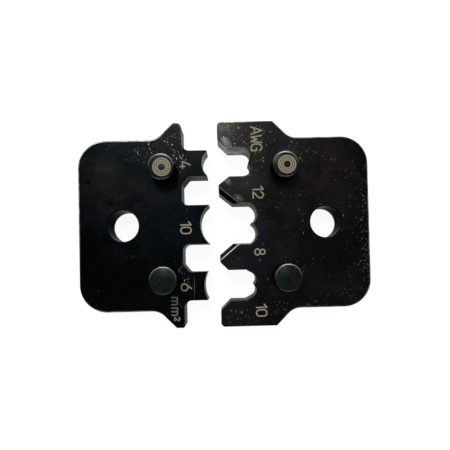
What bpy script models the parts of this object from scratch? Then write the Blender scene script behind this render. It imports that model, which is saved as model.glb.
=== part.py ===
"""Crimp die set for hand pliers: an anvil die and a nest die that close on three crimp stations.

Each die is a hardened steel plate with a bolt hole and two locating pins pressed in from one face.
Lengths are in metres. +X runs from the anvil die to the nest die, along the closing stroke, +Y runs
along the row of stations, and +Z points from the face the dies lie on to the face with the pins.
The origin is midway between the outer edges of the set, on the face it lies on.

Each plate is drawn in its own plane: u runs from its bolt hole to the other die, and v is along +Y.
"""
import math

import bmesh
import bpy

# Plates, and the break of the edges round both faces
PLATE_THICKNESS = 0.0080
BACK_DISTANCE = 0.00765
SHOULDER_FILLET = 0.0030
ANVIL_BACK_RADIUS = 0.0048
NEST_BACK_RADIUS = 0.0044
EDGE_BREAK = 0.0002

# Ears: how far they rise beyond the body, the width of the anvil's at their ends, and the steel
# beyond the lead-in of the lower nest
EAR_RISE = 0.0030
EAR_END_WIDTH = 0.0014
EAR_LAND = 0.002325
EAR_LEAD = 0.00175
EAR_ROOT_FILLET = 0.0014
NEST_EAR_CHAMFER = 0.00045
ANVIL_UPPER_EAR_CHAMFER = 0.0005
ANVIL_LOWER_EAR_CHAMFER = 0.0002

# How far apart the dies' ears stand at rest
REST_OPENING = 0.00635

# Bolt hole
BOLT_HOLE_DIAMETER = 0.0055
BOLT_HOLE_CHAMFER = 0.0002

# Pins, at one distance from the bolt hole towards the other die
PIN_OFFSET = 0.00735
PIN_PITCH = 0.0190
PIN_STANDOUT = 0.0060
PIN_CHAMFER = 0.0003
RING_PIN_DIAMETER = 0.0045
PLAIN_PIN_DIAMETER = 0.0047
PIN_RECESS = 0.0003
PRESS_GAP = 0.00002

# Steel between the lower pin and the front of the anvil's ears, or the floor of the middle nest
ANVIL_EAR_WALL = 0.00075
NEST_FLOOR_WALL = 0.0025

# Crimp stations: the middle one is for 10 square millimetres, the upper for 4 and the lower for 6
FOUR_TOOTH_WIDTH = 0.0045
TEN_TOOTH_WIDTH = 0.00685
SIX_TOOTH_WIDTH = 0.00495
OUTER_SIDE_CLEARANCE = 0.0002
MIDDLE_SIDE_CLEARANCE = 0.00008

# Nests: depth of the floor below the ears, and the two lobes that meet at a cusp
FOUR_NEST_DEPTH = 0.00575
TEN_NEST_DEPTH = 0.0066
SIX_NEST_DEPTH = 0.0063
FOUR_LOBE_OFFSET = 0.00115
TEN_LOBE_OFFSET = 0.0017
SIX_LOBE_OFFSET = 0.0010
FOUR_CUSP_RADIUS = 0.0019
TEN_CUSP_RADIUS = 0.00195
SIX_CUSP_RADIUS = 0.00145
FOUR_SIDE_RADIUS = 0.00125
TEN_SIDE_RADIUS = 0.00195
SIX_SIDE_RADIUS = 0.00115
FOUR_SHOULDER_HEIGHT = 0.0013
TEN_SHOULDER_HEIGHT = 0.0011
SIX_SHOULDER_HEIGHT = 0.0018

# Lead-ins at the mouths of the nests, and the blunt fingers between them
FINGER_SHORTFALL = 0.00005
FINGER_TIP_WIDTH = 0.00127
MIDDLE_LEAD_DEPTH = 0.00235
MIDDLE_LEAD_WIDTH = 0.00195
FOUR_LEAD_DEPTH = 0.0019
FOUR_LEAD_WIDTH = 0.0015
SIX_LEAD_DEPTH = 0.0014
SIX_LEAD_WIDTH = 0.0014
FLANK_BEVEL = 0.00075
BEVEL_OVERRUN = 0.0015

# Crimp heights: what is left between a nest's floor and the horns of its tooth when the ears meet
FOUR_CRIMP_HEIGHT = 0.0013
TEN_CRIMP_HEIGHT = 0.00195
SIX_CRIMP_HEIGHT = 0.00215

# Anvil teeth: depth of the hollow between the horns, and the gullets that take the fingers
FOUR_HOLLOW_DEPTH = 0.00095
TEN_HOLLOW_DEPTH = 0.00165
SIX_HOLLOW_DEPTH = 0.0006
GULLET_CLEARANCE = 0.0001
GULLET_FILLET = 0.00115
GULLET_SLANT_DEPTH = 0.00115
GULLET_SLANT_WIDTH = 0.0014
GULLET_SLANT_FILLET = 0.0006

# Fineness of the model; the hollows take longer chords, so that the break of the edges clears the
# acute tips of the horns
ARC_CHORD = 0.00045
HOLLOW_CHORD = 0.00065
ROUND_SEGMENTS = 48
SMOOTH_ANGLE = math.radians(25)
WELD_DISTANCE = 0.000001
CUT_MARGIN = 0.001

# Half widths of the nests, and where the stations, the ears and the body's edges then lie
FOUR_NEST_HALF = FOUR_TOOTH_WIDTH / 2 + OUTER_SIDE_CLEARANCE
TEN_NEST_HALF = TEN_TOOTH_WIDTH / 2 + MIDDLE_SIDE_CLEARANCE
SIX_NEST_HALF = SIX_TOOTH_WIDTH / 2 + OUTER_SIDE_CLEARANCE
FINGER_HEIGHT = MIDDLE_LEAD_WIDTH + FINGER_TIP_WIDTH + SIX_LEAD_WIDTH
STATION_PITCH = TEN_NEST_HALF + FINGER_HEIGHT + SIX_NEST_HALF
EAR_HALF = STATION_PITCH + SIX_NEST_HALF + EAR_LEAD + EAR_LAND + NEST_EAR_CHAMFER
BODY_HALF = EAR_HALF - EAR_RISE

# How far each feature reaches from its own bolt hole towards the other die
PIN_REACH = PIN_OFFSET + PLAIN_PIN_DIAMETER / 2
ANVIL_EAR_REACH = PIN_REACH + ANVIL_EAR_WALL
NEST_EAR_REACH = PIN_REACH + NEST_FLOOR_WALL + TEN_NEST_DEPTH
SHOULDER_END = ANVIL_EAR_REACH - EAR_END_WIDTH
SHOULDER_START = SHOULDER_END - EAR_RISE
GULLET_REACH = ANVIL_EAR_REACH - GULLET_CLEARANCE
FINGER_REACH = NEST_EAR_REACH - FINGER_SHORTFALL
FOUR_FLOOR_REACH = NEST_EAR_REACH - FOUR_NEST_DEPTH
TEN_FLOOR_REACH = NEST_EAR_REACH - TEN_NEST_DEPTH
SIX_FLOOR_REACH = NEST_EAR_REACH - SIX_NEST_DEPTH
FOUR_HORN_REACH = ANVIL_EAR_REACH + FOUR_NEST_DEPTH - FOUR_CRIMP_HEIGHT
TEN_HORN_REACH = ANVIL_EAR_REACH + TEN_NEST_DEPTH - TEN_CRIMP_HEIGHT
SIX_HORN_REACH = ANVIL_EAR_REACH + SIX_NEST_DEPTH - SIX_CRIMP_HEIGHT

# Where the dies' bolt holes stand at rest
BOLT_SPACING = ANVIL_EAR_REACH + REST_OPENING + NEST_EAR_REACH
ANVIL_BOLT_X = -BOLT_SPACING / 2
NEST_BOLT_X = BOLT_SPACING / 2

ANVIL_STEEL = ("black_oxide_anvil", (0.012, 0.014, 0.017), 0.32)
NEST_STEEL = ("black_oxide_nest", (0.022, 0.021, 0.023), 0.36)
PIN_STEEL = ("pin_steel", (0.060, 0.066, 0.066), 0.30)


def clear_scene():
    for item in list(bpy.data.objects):
        bpy.data.objects.remove(item, do_unlink=True)


def new_collection(name):
    collection = bpy.data.collections.new(name)
    bpy.context.scene.collection.children.link(collection)
    return collection


def steel(name, colour, roughness):
    """Return a Principled material for one kind of steel finish."""
    material = bpy.data.materials.new(name)
    material.use_nodes = True
    shader = material.node_tree.nodes["Principled BSDF"]
    shader.inputs["Base Color"].default_value = (*colour, 1.0)
    shader.inputs["Metallic"].default_value = 1.0
    shader.inputs["Roughness"].default_value = roughness
    return material


def arc_points(centre, radius, start, end, chord=ARC_CHORD):
    """Return points along an arc, both ends included, about one chord length apart."""
    steps = max(2, round(radius * abs(end - start) / chord))
    angles = [start + (end - start) * step / steps for step in range(steps + 1)]
    return [(centre[0] + radius * math.cos(a), centre[1] + radius * math.sin(a)) for a in angles]


def fillet(before, corner, after, radius):
    """Return the points of the arc that rounds one corner of an outline."""
    way_in = math.atan2(before[1] - corner[1], before[0] - corner[0])
    way_out = math.atan2(after[1] - corner[1], after[0] - corner[0])
    opening = (way_out - way_in + math.pi) % (2 * math.pi) - math.pi
    half = abs(opening) / 2
    room = min(math.dist(before, corner), math.dist(corner, after))
    radius = min(radius, room * math.tan(half))
    middle = way_in + opening / 2
    to_centre = radius / math.sin(half)
    centre = (corner[0] + to_centre * math.cos(middle), corner[1] + to_centre * math.sin(middle))
    turn = math.copysign(math.pi / 2 - half, opening)
    facing = middle + math.pi
    return arc_points(centre, radius, facing + turn, facing - turn)


def rounded(corners):
    """Turn corners (u, v) or (u, v, fillet radius) into the points of a closed outline."""
    points = []
    for index, corner in enumerate(corners):
        if len(corner) == 2:
            points.append(corner)
            continue
        before = corners[index - 1]
        after = corners[(index + 1) % len(corners)]
        points += fillet(before[:2], corner[:2], after[:2], corner[2])
    return points


def hollow(reach, depth, low, high):
    """Return the concave working edge of an anvil tooth, from its lower horn to its upper one."""
    half = (high - low) / 2
    radius = (half * half + depth * depth) / (2 * depth)
    centre = (reach - depth + radius, (low + high) / 2)
    sweep = math.asin(half / radius)
    return arc_points(centre, radius, math.pi + sweep, math.pi - sweep, HOLLOW_CHORD)


def half_nest(floor, lobe_offset, cusp_radius, side_radius, shoulder_height, half_width):
    """Return one half of a nest, from the cusp on its centre line out to the top of the shoulder.

    The lobe's deepest point is lobe_offset from the centre line. From there one arc rises to the
    cusp, and another rises until its tangent runs straight to the shoulder on the side wall.
    """
    cusp_sweep = math.asin(min(1.0, lobe_offset / cusp_radius))
    inner = arc_points((floor + cusp_radius, lobe_offset), cusp_radius,
                       math.pi + cusp_sweep, math.pi)
    rise = shoulder_height - side_radius
    run = half_width - lobe_offset
    distance = math.hypot(rise, run)
    if distance > side_radius:
        side_sweep = math.atan2(run, -rise) - math.acos(side_radius / distance)
        shoulder = [(floor + shoulder_height, half_width)]
    else:
        side_sweep = math.asin(run / side_radius)
        shoulder = []
    outer = arc_points((floor + side_radius, lobe_offset), side_radius,
                       math.pi, math.pi - side_sweep)
    return inner + outer[1:] + shoulder


def nest(centre, *sizes):
    """Return a whole nest, from the shoulder on its lower wall to the one on its upper wall."""
    half = half_nest(*sizes)
    lower = [(u, centre - v) for u, v in reversed(half)]
    upper = [(u, centre + v) for u, v in half[1:]]
    return lower + upper


def back_and_shoulder(back_radius, side):
    """Return the corners from the back edge to the ear, on the upper side (1) or the lower (-1)."""
    return [
        (-BACK_DISTANCE, side * BODY_HALF, back_radius),
        (SHOULDER_START, side * BODY_HALF, SHOULDER_FILLET),
        (SHOULDER_END, side * EAR_HALF),
    ]


def anvil_ear(side, chamfer, tooth_flank):
    """Return the corners of an anvil ear, from its outer end to the root of the tooth beside it."""
    return [
        (ANVIL_EAR_REACH - chamfer, side * EAR_HALF),
        (ANVIL_EAR_REACH, side * (EAR_HALF - chamfer)),
        (ANVIL_EAR_REACH, tooth_flank, EAR_ROOT_FILLET),
    ]


def gullet(middle_flank, outer_flank):
    """Return the corners of the gullet from the middle tooth's flank to an outer tooth's flank."""
    side = math.copysign(1.0, outer_flank - middle_flank)
    slant = outer_flank - side * GULLET_SLANT_WIDTH
    return [
        (GULLET_REACH, middle_flank, GULLET_FILLET),
        (GULLET_REACH, slant, GULLET_SLANT_FILLET),
        (GULLET_REACH + GULLET_SLANT_DEPTH, outer_flank, GULLET_SLANT_FILLET),
    ]


def anvil_outline():
    """Return the anvil plate's outline: both ears, the three hollow teeth and the gullets."""
    ten = TEN_TOOTH_WIDTH / 2
    four_low = STATION_PITCH - FOUR_TOOTH_WIDTH / 2
    four_high = STATION_PITCH + FOUR_TOOTH_WIDTH / 2
    six_low = -STATION_PITCH - SIX_TOOTH_WIDTH / 2
    six_high = -STATION_PITCH + SIX_TOOTH_WIDTH / 2
    lower_back = back_and_shoulder(ANVIL_BACK_RADIUS, -1)
    upper_back = back_and_shoulder(ANVIL_BACK_RADIUS, 1)
    lower_ear = anvil_ear(-1, ANVIL_LOWER_EAR_CHAMFER, six_low)
    upper_ear = anvil_ear(1, ANVIL_UPPER_EAR_CHAMFER, four_high)
    return rounded(
        lower_back
        + lower_ear
        + hollow(SIX_HORN_REACH, SIX_HOLLOW_DEPTH, six_low, six_high)
        + gullet(-ten, six_high)[::-1]
        + hollow(TEN_HORN_REACH, TEN_HOLLOW_DEPTH, -ten, ten)
        + gullet(ten, four_low)
        + hollow(FOUR_HORN_REACH, FOUR_HOLLOW_DEPTH, four_low, four_high)
        + upper_ear[::-1]
        + upper_back[::-1]
    )


def nest_ear(side, nest_wall):
    """Return the corners of a nest ear, from its outer end to the mouth of the nest beside it."""
    return [
        (NEST_EAR_REACH - NEST_EAR_CHAMFER, side * EAR_HALF),
        (NEST_EAR_REACH, side * (EAR_HALF - NEST_EAR_CHAMFER)),
        (NEST_EAR_REACH, nest_wall + side * EAR_LEAD),
        (NEST_EAR_REACH - EAR_LEAD, nest_wall),
    ]


def finger(side, outer_wall, outer_depth, outer_width):
    """Return the corners of the finger on one side of the middle nest, from that nest outward."""
    return [
        (FINGER_REACH - MIDDLE_LEAD_DEPTH, side * TEN_NEST_HALF),
        (FINGER_REACH, side * (TEN_NEST_HALF + MIDDLE_LEAD_WIDTH)),
        (FINGER_REACH, outer_wall - side * outer_width),
        (FINGER_REACH - outer_depth, outer_wall),
    ]


def nest_outline():
    """Return the nest plate's outline: both ears, the three nests and the fingers between them."""
    four_low = STATION_PITCH - FOUR_NEST_HALF
    four_high = STATION_PITCH + FOUR_NEST_HALF
    six_low = -STATION_PITCH - SIX_NEST_HALF
    six_high = -STATION_PITCH + SIX_NEST_HALF
    lower_back = back_and_shoulder(NEST_BACK_RADIUS, -1)
    upper_back = back_and_shoulder(NEST_BACK_RADIUS, 1)
    lower_finger = finger(-1, six_high, SIX_LEAD_DEPTH, SIX_LEAD_WIDTH)
    upper_finger = finger(1, four_low, FOUR_LEAD_DEPTH, FOUR_LEAD_WIDTH)
    return rounded(
        lower_back
        + nest_ear(-1, six_low)
        + nest(-STATION_PITCH, SIX_FLOOR_REACH, SIX_LOBE_OFFSET, SIX_CUSP_RADIUS,
               SIX_SIDE_RADIUS, SIX_SHOULDER_HEIGHT, SIX_NEST_HALF)
        + lower_finger[::-1]
        + nest(0.0, TEN_FLOOR_REACH, TEN_LOBE_OFFSET, TEN_CUSP_RADIUS,
               TEN_SIDE_RADIUS, TEN_SHOULDER_HEIGHT, TEN_NEST_HALF)
        + upper_finger
        + nest(STATION_PITCH, FOUR_FLOOR_REACH, FOUR_LOBE_OFFSET, FOUR_CUSP_RADIUS,
               FOUR_SIDE_RADIUS, FOUR_SHOULDER_HEIGHT, FOUR_NEST_HALF)
        + nest_ear(1, four_high)[::-1]
        + upper_back[::-1]
    )


def shown(name, mesh, material, parent, collection):
    """Wrap a mesh in a named object of the die that its parent empty stands for."""
    mesh.name = name
    mesh.materials.clear()
    mesh.materials.append(material)
    body = bpy.data.objects.new(name, mesh)
    body.parent = parent
    collection.objects.link(body)
    return body


def evaluated_mesh(body):
    """Return a new mesh of an object as its modifiers leave it, in the object's own frame."""
    bpy.context.view_layer.update()
    evaluated = body.evaluated_get(bpy.context.evaluated_depsgraph_get())
    return bpy.data.meshes.new_from_object(evaluated)


def weld_and_mark_rims(mesh):
    """Join the drawn outline's caps to its wall, and mark the edges round both faces for a bevel."""
    shape = bmesh.new()
    shape.from_mesh(mesh)
    bmesh.ops.remove_doubles(shape, verts=shape.verts, dist=WELD_DISTANCE)
    bmesh.ops.recalc_face_normals(shape, faces=shape.faces)
    inside_caps = [edge for edge in shape.edges if all(map(is_flat, edge.link_faces))]
    bmesh.ops.dissolve_edges(shape, edges=inside_caps)
    weight = shape.edges.layers.float.new("bevel_weight_edge")
    for edge in shape.edges:
        edge[weight] = 1.0 if any(map(is_flat, edge.link_faces)) else 0.0
    shape.to_mesh(mesh)
    shape.free()


def is_flat(face):
    """Say whether a face lies level, as a plate's two large faces do and its walls don't."""
    return abs(face.normal.z) > 0.5


def plate(name, outline, direction, material, parent, collection):
    """Make a die's blank from its outline; direction is 1 or -1, the way u runs along X."""
    curve = bpy.data.curves.new(name + "_outline", "CURVE")
    curve.dimensions = "2D"
    curve.fill_mode = "BOTH"
    curve.extrude = PLATE_THICKNESS / 2
    spline = curve.splines.new("POLY")
    spline.points.add(len(outline) - 1)
    for point, (u, v) in zip(spline.points, outline):
        point.co = (direction * u, v, 0.0, 1.0)
    spline.use_cyclic_u = True
    drawing = bpy.data.objects.new(name + "_outline", curve)
    collection.objects.link(drawing)

    mesh = evaluated_mesh(drawing)
    weld_and_mark_rims(mesh)
    bpy.data.objects.remove(drawing, do_unlink=True)
    body = shown(name, mesh, material, parent, collection)
    body.location.z = PLATE_THICKNESS / 2
    broken_edges = body.modifiers.new("broken_edges", "BEVEL")
    broken_edges.limit_method = "WEIGHT"
    broken_edges.width = EDGE_BREAK
    broken_edges.segments = 1
    broken_edges.use_clamp_overlap = False
    return body


def turned(name, profile, parent, collection):
    """Turn a profile of (radius, height) points, top to bottom, about its own vertical axis."""
    mesh = bpy.data.meshes.new(name)
    vertices = [(radius, 0.0, height) for radius, height in profile]
    edges = [(index, index + 1) for index in range(len(profile) - 1)]
    mesh.from_pydata(vertices, edges, [])
    body = bpy.data.objects.new(name, mesh)
    body.parent = parent
    collection.objects.link(body)
    lathe = body.modifiers.new("lathe", "SCREW")
    lathe.steps = ROUND_SEGMENTS
    lathe.render_steps = ROUND_SEGMENTS
    lathe.use_merge_vertices = True
    lathe.merge_threshold = WELD_DISTANCE
    return body


def pin(name, diameter, x, y, material, parent, collection):
    """Make a pressed-in pin with chamfered ends, standing on its axis at x, y in the die."""
    radius = diameter / 2
    top = PLATE_THICKNESS + PIN_STANDOUT
    body = turned(name, [
        (0.0, top),
        (radius - PIN_CHAMFER, top),
        (radius, top - PIN_CHAMFER),
        (radius, PIN_RECESS + PIN_CHAMFER),
        (radius - PIN_CHAMFER, PIN_RECESS),
        (0.0, PIN_RECESS),
    ], parent, collection)
    body.data.materials.append(material)
    body.location = (x, y, 0.0)
    return body


def cut(body, cutter):
    """Take a cutter's shape out of a body, and keep the cutter out of sight."""
    cutter.hide_render = True
    cutter.display_type = "WIRE"
    boolean = body.modifiers.new(cutter.name, "BOOLEAN")
    boolean.operation = "DIFFERENCE"
    boolean.solver = "EXACT"
    boolean.object = cutter


def drill_bolt_hole(body, cutters):
    """Drill the bolt hole on the die's axis and chamfer both of its mouths."""
    radius = BOLT_HOLE_DIAMETER / 2
    flare = radius + BOLT_HOLE_CHAMFER + CUT_MARGIN
    drill = turned(body.name + "_bolt_drill", [
        (0.0, PLATE_THICKNESS + CUT_MARGIN),
        (flare, PLATE_THICKNESS + CUT_MARGIN),
        (radius, PLATE_THICKNESS - BOLT_HOLE_CHAMFER),
        (radius, BOLT_HOLE_CHAMFER),
        (flare, -CUT_MARGIN),
        (0.0, -CUT_MARGIN),
    ], body.parent, cutters)
    cut(body, drill)


def ream_pin_bore(body, diameter, x, y, cutters):
    """Ream the bore that one pin is pressed into, right through the plate."""
    radius = diameter / 2 + PRESS_GAP
    side = "upper" if y > 0 else "lower"
    reamer = turned(f"{body.name}_{side}_reamer", [
        (0.0, PLATE_THICKNESS + CUT_MARGIN),
        (radius, PLATE_THICKNESS + CUT_MARGIN),
        (radius, -CUT_MARGIN),
        (0.0, -CUT_MARGIN),
    ], body.parent, cutters)
    reamer.location = (x, y, 0.0)
    cut(body, reamer)


def bevel_middle_flank(body, side, direction, cutters):
    """Bevel the pin-side edge of the middle nest's lead-in, on its upper (1) or lower (-1) flank.

    The cutter is a square bar turned onto its corner, with that edge of the plate as its axis.
    """
    tip = (FINGER_REACH, side * (TEN_NEST_HALF + MIDDLE_LEAD_WIDTH))
    root = (FINGER_REACH - MIDDLE_LEAD_DEPTH, side * TEN_NEST_HALF)
    length = math.dist(tip, root) + 2 * BEVEL_OVERRUN
    width = FLANK_BEVEL * math.sqrt(2)
    shape = bmesh.new()
    bmesh.ops.create_cube(shape, size=1.0)
    bmesh.ops.scale(shape, vec=(length, width, width), verts=shape.verts)
    mesh = bpy.data.meshes.new("bevel_bar")
    shape.to_mesh(mesh)
    shape.free()
    name = "upper_flank_bevel" if side > 0 else "lower_flank_bevel"
    bar = bpy.data.objects.new(name, mesh)
    bar.parent = body.parent
    bar.location = (direction * (tip[0] + root[0]) / 2, (tip[1] + root[1]) / 2, PLATE_THICKNESS)
    slope = math.atan2(tip[1] - root[1], direction * (tip[0] - root[0]))
    bar.rotation_euler = (math.pi / 4, 0.0, slope)
    cutters.objects.link(bar)
    cut(body, bar)


def finish(body):
    """Settle a body's modifiers into its mesh, with its round surfaces shaded smooth."""
    mesh = evaluated_mesh(body)
    mesh.name = body.name
    mesh.shade_smooth()
    mesh.set_sharp_from_angle(angle=SMOOTH_ANGLE)
    body.modifiers.clear()
    body.data = mesh


def die(side_name, outline, bolt_x, direction, plate_steel, pin_steel, parts, cutters):
    """Build one die: its plate, bolt hole, pins and their bores, about its bolt hole's axis."""
    axis = bpy.data.objects.new(side_name + "_die", None)
    axis.location = (bolt_x, 0.0, 0.0)
    parts.objects.link(axis)
    body = plate(side_name + "_plate", outline, direction, plate_steel, axis, parts)
    drill_bolt_hole(body, cutters)
    pins = [
        ("ring_pin", RING_PIN_DIAMETER, PIN_PITCH / 2),
        ("plain_pin", PLAIN_PIN_DIAMETER, -PIN_PITCH / 2),
    ]
    x = direction * PIN_OFFSET
    for pin_name, diameter, y in pins:
        ream_pin_bore(body, diameter, x, y, cutters)
        name = f"{side_name}_{pin_name}"
        finish(pin(name, diameter, x, y, pin_steel, axis, parts))
    return body


def build():
    clear_scene()
    parts = new_collection("crimp_die_set")
    cutters = new_collection("cutters")
    pin_steel = steel(*PIN_STEEL)
    anvil_body = die("anvil", anvil_outline(), ANVIL_BOLT_X, 1,
                     steel(*ANVIL_STEEL), pin_steel, parts, cutters)
    nest_body = die("nest", nest_outline(), NEST_BOLT_X, -1,
                    steel(*NEST_STEEL), pin_steel, parts, cutters)
    for side in (1, -1):
        bevel_middle_flank(nest_body, side, -1, cutters)
    finish(anvil_body)
    finish(nest_body)


build()
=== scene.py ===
"""Looks of the crimp die set: two black-oxide dies with blackened pins and etched size marks.

The dies are made again here with finer arcs and rounded edge breaks, in millimetres, and scaled to
metres when they become objects. +X runs from the anvil die to the nest die, +Y along the row of
stations, +Z up, towards the pins. A plate's own u runs from its bolt hole to the other die.
"""
import math

import bmesh
import bpy
from mathutils import Matrix, Vector
from mathutils.geometry import delaunay_2d_cdt


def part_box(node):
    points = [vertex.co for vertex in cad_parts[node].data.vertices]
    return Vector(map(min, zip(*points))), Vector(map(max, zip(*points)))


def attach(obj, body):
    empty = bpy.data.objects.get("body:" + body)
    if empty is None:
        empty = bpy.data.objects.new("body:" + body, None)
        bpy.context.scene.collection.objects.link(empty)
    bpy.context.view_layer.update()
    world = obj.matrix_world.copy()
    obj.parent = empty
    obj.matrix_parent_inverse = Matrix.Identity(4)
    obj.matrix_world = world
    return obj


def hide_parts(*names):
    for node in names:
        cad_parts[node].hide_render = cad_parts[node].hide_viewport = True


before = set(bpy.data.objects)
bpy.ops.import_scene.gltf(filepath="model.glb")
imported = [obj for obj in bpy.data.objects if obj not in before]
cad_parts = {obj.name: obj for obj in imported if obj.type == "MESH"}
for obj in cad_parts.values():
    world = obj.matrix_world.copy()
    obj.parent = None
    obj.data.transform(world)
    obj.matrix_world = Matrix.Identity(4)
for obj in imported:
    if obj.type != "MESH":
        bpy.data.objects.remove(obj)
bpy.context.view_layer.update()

# Plates, in millimetres like every length below
THICKNESS = 8.0
BACK_DISTANCE = 7.65
SHOULDER_FILLET = 3.0
BACK_RADIUS = 4.8
EDGE_BREAK = 0.2
BODY_HALF = 15.0
EAR_HALF = 18.0
SHOULDER_START = 6.05
SHOULDER_END = 9.05
ANVIL_EAR_REACH = 10.45
NEST_EAR_REACH = 18.8
EAR_LEAD = 1.75
EAR_ROOT_FILLET = 1.4
NEST_EAR_CHAMFER = 0.45
ANVIL_UPPER_EAR_CHAMFER = 0.5
ANVIL_LOWER_EAR_CHAMFER = 0.2
ANVIL_TIP_RADIUS = 0.8

# Bolt hole and pins
BOLT_HOLE_RADIUS = 2.75
BOLT_HOLE_CHAMFER = 0.2
PIN_OFFSET = 7.35
PIN_Y = 9.5
PIN_TOP = 14.0
PIN_FOOT = 0.3
RING_PIN_RADIUS = 2.25
RING_PIN_CHAMFER = 0.3
PLAIN_PIN_RADIUS = 2.35
PLAIN_PIN_CHAMFER = 0.2
PIN_CORNER_BREAK = 0.04
PRESS_GAP = 0.02

# Marks lie on the faces as a skin, and on a pin's end the skin's top is the pin's full height.
# The ring marks are a little coarser than the real ones, so that the gaps between them show
MARK_STROKE = 0.23
MARK_HEIGHT = 0.012
RING_MARK_RADII = ((0.60, 0.83), (0.95, 1.18), (1.30, 1.53))

# Stations: the middle one for 10 square millimetres, the upper for 4 and the lower for 6
STATION_PITCH = 10.8
FOUR_TOOTH_HALF = 2.25
TEN_TOOTH_HALF = 3.425
SIX_TOOTH_HALF = 2.475
OUTER_SIDE_CLEARANCE = 0.2
MIDDLE_SIDE_CLEARANCE = 0.08
FOUR_NEST_HALF = FOUR_TOOTH_HALF + OUTER_SIDE_CLEARANCE
TEN_NEST_HALF = TEN_TOOTH_HALF + MIDDLE_SIDE_CLEARANCE
SIX_NEST_HALF = SIX_TOOTH_HALF + OUTER_SIDE_CLEARANCE

# Teeth: reach of the horns, and depth of the hollow between them
FOUR_TOOTH = (14.9, 0.95)
TEN_TOOTH = (15.1, 1.65)
SIX_TOOTH = (14.6, 0.6)
GULLET_REACH = 10.35
GULLET_FILLET = 1.15
GULLET_SLANT_DEPTH = 1.15
GULLET_SLANT_WIDTH = 1.4
GULLET_SLANT_FILLET = 0.6

# Nests: floor reach, lobe offset, cusp radius, side radius, shoulder height
FOUR_NEST = (13.05, 1.15, 1.9, 1.25, 1.3)
TEN_NEST = (12.2, 1.7, 1.95, 1.95, 1.1)
SIX_NEST = (12.5, 1.0, 1.45, 1.15, 1.8)

# Lead-ins at the mouths of the nests
FINGER_REACH = 18.75
MIDDLE_LEAD = (2.35, 1.95)
FOUR_LEAD = (1.9, 1.5)
SIX_LEAD = (1.4, 1.4)
FLANK_BEVELS = {1: 0.75, -1: 0.5}
BEVEL_OVERRUN = 1.5

# Where the walls are working edges: across the stations, and up to the ears' ends
WORKING_MIDDLE_X = -1.0
WORKING_HALF_X = 6.9
WORKING_HALF_Y = 17.7

# Nicks: size of the cell that holds one, half length and half width
PLATE_NICKS = ((1.1, 0.46, 0.028), (0.7, 0.26, 0.028), (0.55, 0.07, 0.04))
PIN_NICKS = ((0.8, 0.3, 0.06),)

# White table
TABLE_REACH = 1500.0
TABLE_GAP = 0.02

# Fineness of the arcs and of the joins between them
CHORD = 0.12
ROUND_SEGMENTS = 96
STROKE_END_STEPS = 8
SHARP_ANGLE = math.radians(30)
WELD_DISTANCE = 0.0001
STROKE_WELD_DISTANCE = 0.0005
CORNER_CLEARANCE = 1.25 * EDGE_BREAK
RIM_MARGIN = 0.1
CUT_MARGIN = 1.0
METRES = 0.001

ANVIL_BOLT_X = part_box("anvil_plate")[0].x / METRES + BACK_DISTANCE
NEST_BOLT_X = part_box("nest_plate")[1].x / METRES - BACK_DISTANCE


# Outlines

def arc_points(centre, radius, start, end):
    steps = max(2, round(radius * abs(end - start) / CHORD))
    angles = [start + (end - start) * step / steps for step in range(steps + 1)]
    return [(centre[0] + radius * math.cos(a), centre[1] + radius * math.sin(a)) for a in angles]


def fillet(before, corner, after, radius):
    """Return the points of the arc that rounds one corner of an outline."""
    way_in = math.atan2(before[1] - corner[1], before[0] - corner[0])
    way_out = math.atan2(after[1] - corner[1], after[0] - corner[0])
    opening = (way_out - way_in + math.pi) % (2 * math.pi) - math.pi
    half = abs(opening) / 2
    room = min(math.dist(before, corner), math.dist(corner, after))
    radius = min(radius, room * math.tan(half))
    middle = way_in + opening / 2
    to_centre = radius / math.sin(half)
    centre = (corner[0] + to_centre * math.cos(middle), corner[1] + to_centre * math.sin(middle))
    turn = math.copysign(math.pi / 2 - half, opening)
    facing = middle + math.pi
    return arc_points(centre, radius, facing + turn, facing - turn)


def rounded(corners):
    """Turn corners (u, v) or (u, v, fillet radius) into the points of a closed outline."""
    points = []
    for index, corner in enumerate(corners):
        if len(corner) == 2:
            points.append(corner)
            continue
        before = corners[index - 1]
        after = corners[(index + 1) % len(corners)]
        points += fillet(before[:2], corner[:2], after[:2], corner[2])
    return points


def eased(points):
    """Drop the points beside each sharp corner that the break of its edges would fold over."""
    area = sum(a[0] * b[1] - b[0] * a[1] for a, b in zip(points, points[1:] + points[:1]))
    side = math.copysign(1.0, area)
    clearances = {}
    for index, corner in enumerate(points):
        before = points[index - 1]
        after = points[(index + 1) % len(points)]
        way_in = math.atan2(corner[1] - before[1], corner[0] - before[0])
        way_out = math.atan2(after[1] - corner[1], after[0] - corner[0])
        turn = side * ((way_out - way_in + math.pi) % (2 * math.pi) - math.pi)
        if turn > SHARP_ANGLE:
            clearances[corner] = CORNER_CLEARANCE * math.tan(turn / 2)
    return [
        point for point in points
        if point in clearances
        or all(math.dist(point, corner) > reach for corner, reach in clearances.items())
    ]


def hollow(tooth, low, high):
    """Return the concave working edge of a tooth, from its lower horn to its upper one."""
    reach, depth = tooth
    half = (high - low) / 2
    radius = (half * half + depth * depth) / (2 * depth)
    centre = (reach - depth + radius, (low + high) / 2)
    sweep = math.asin(half / radius)
    return arc_points(centre, radius, math.pi + sweep, math.pi - sweep)


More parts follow.
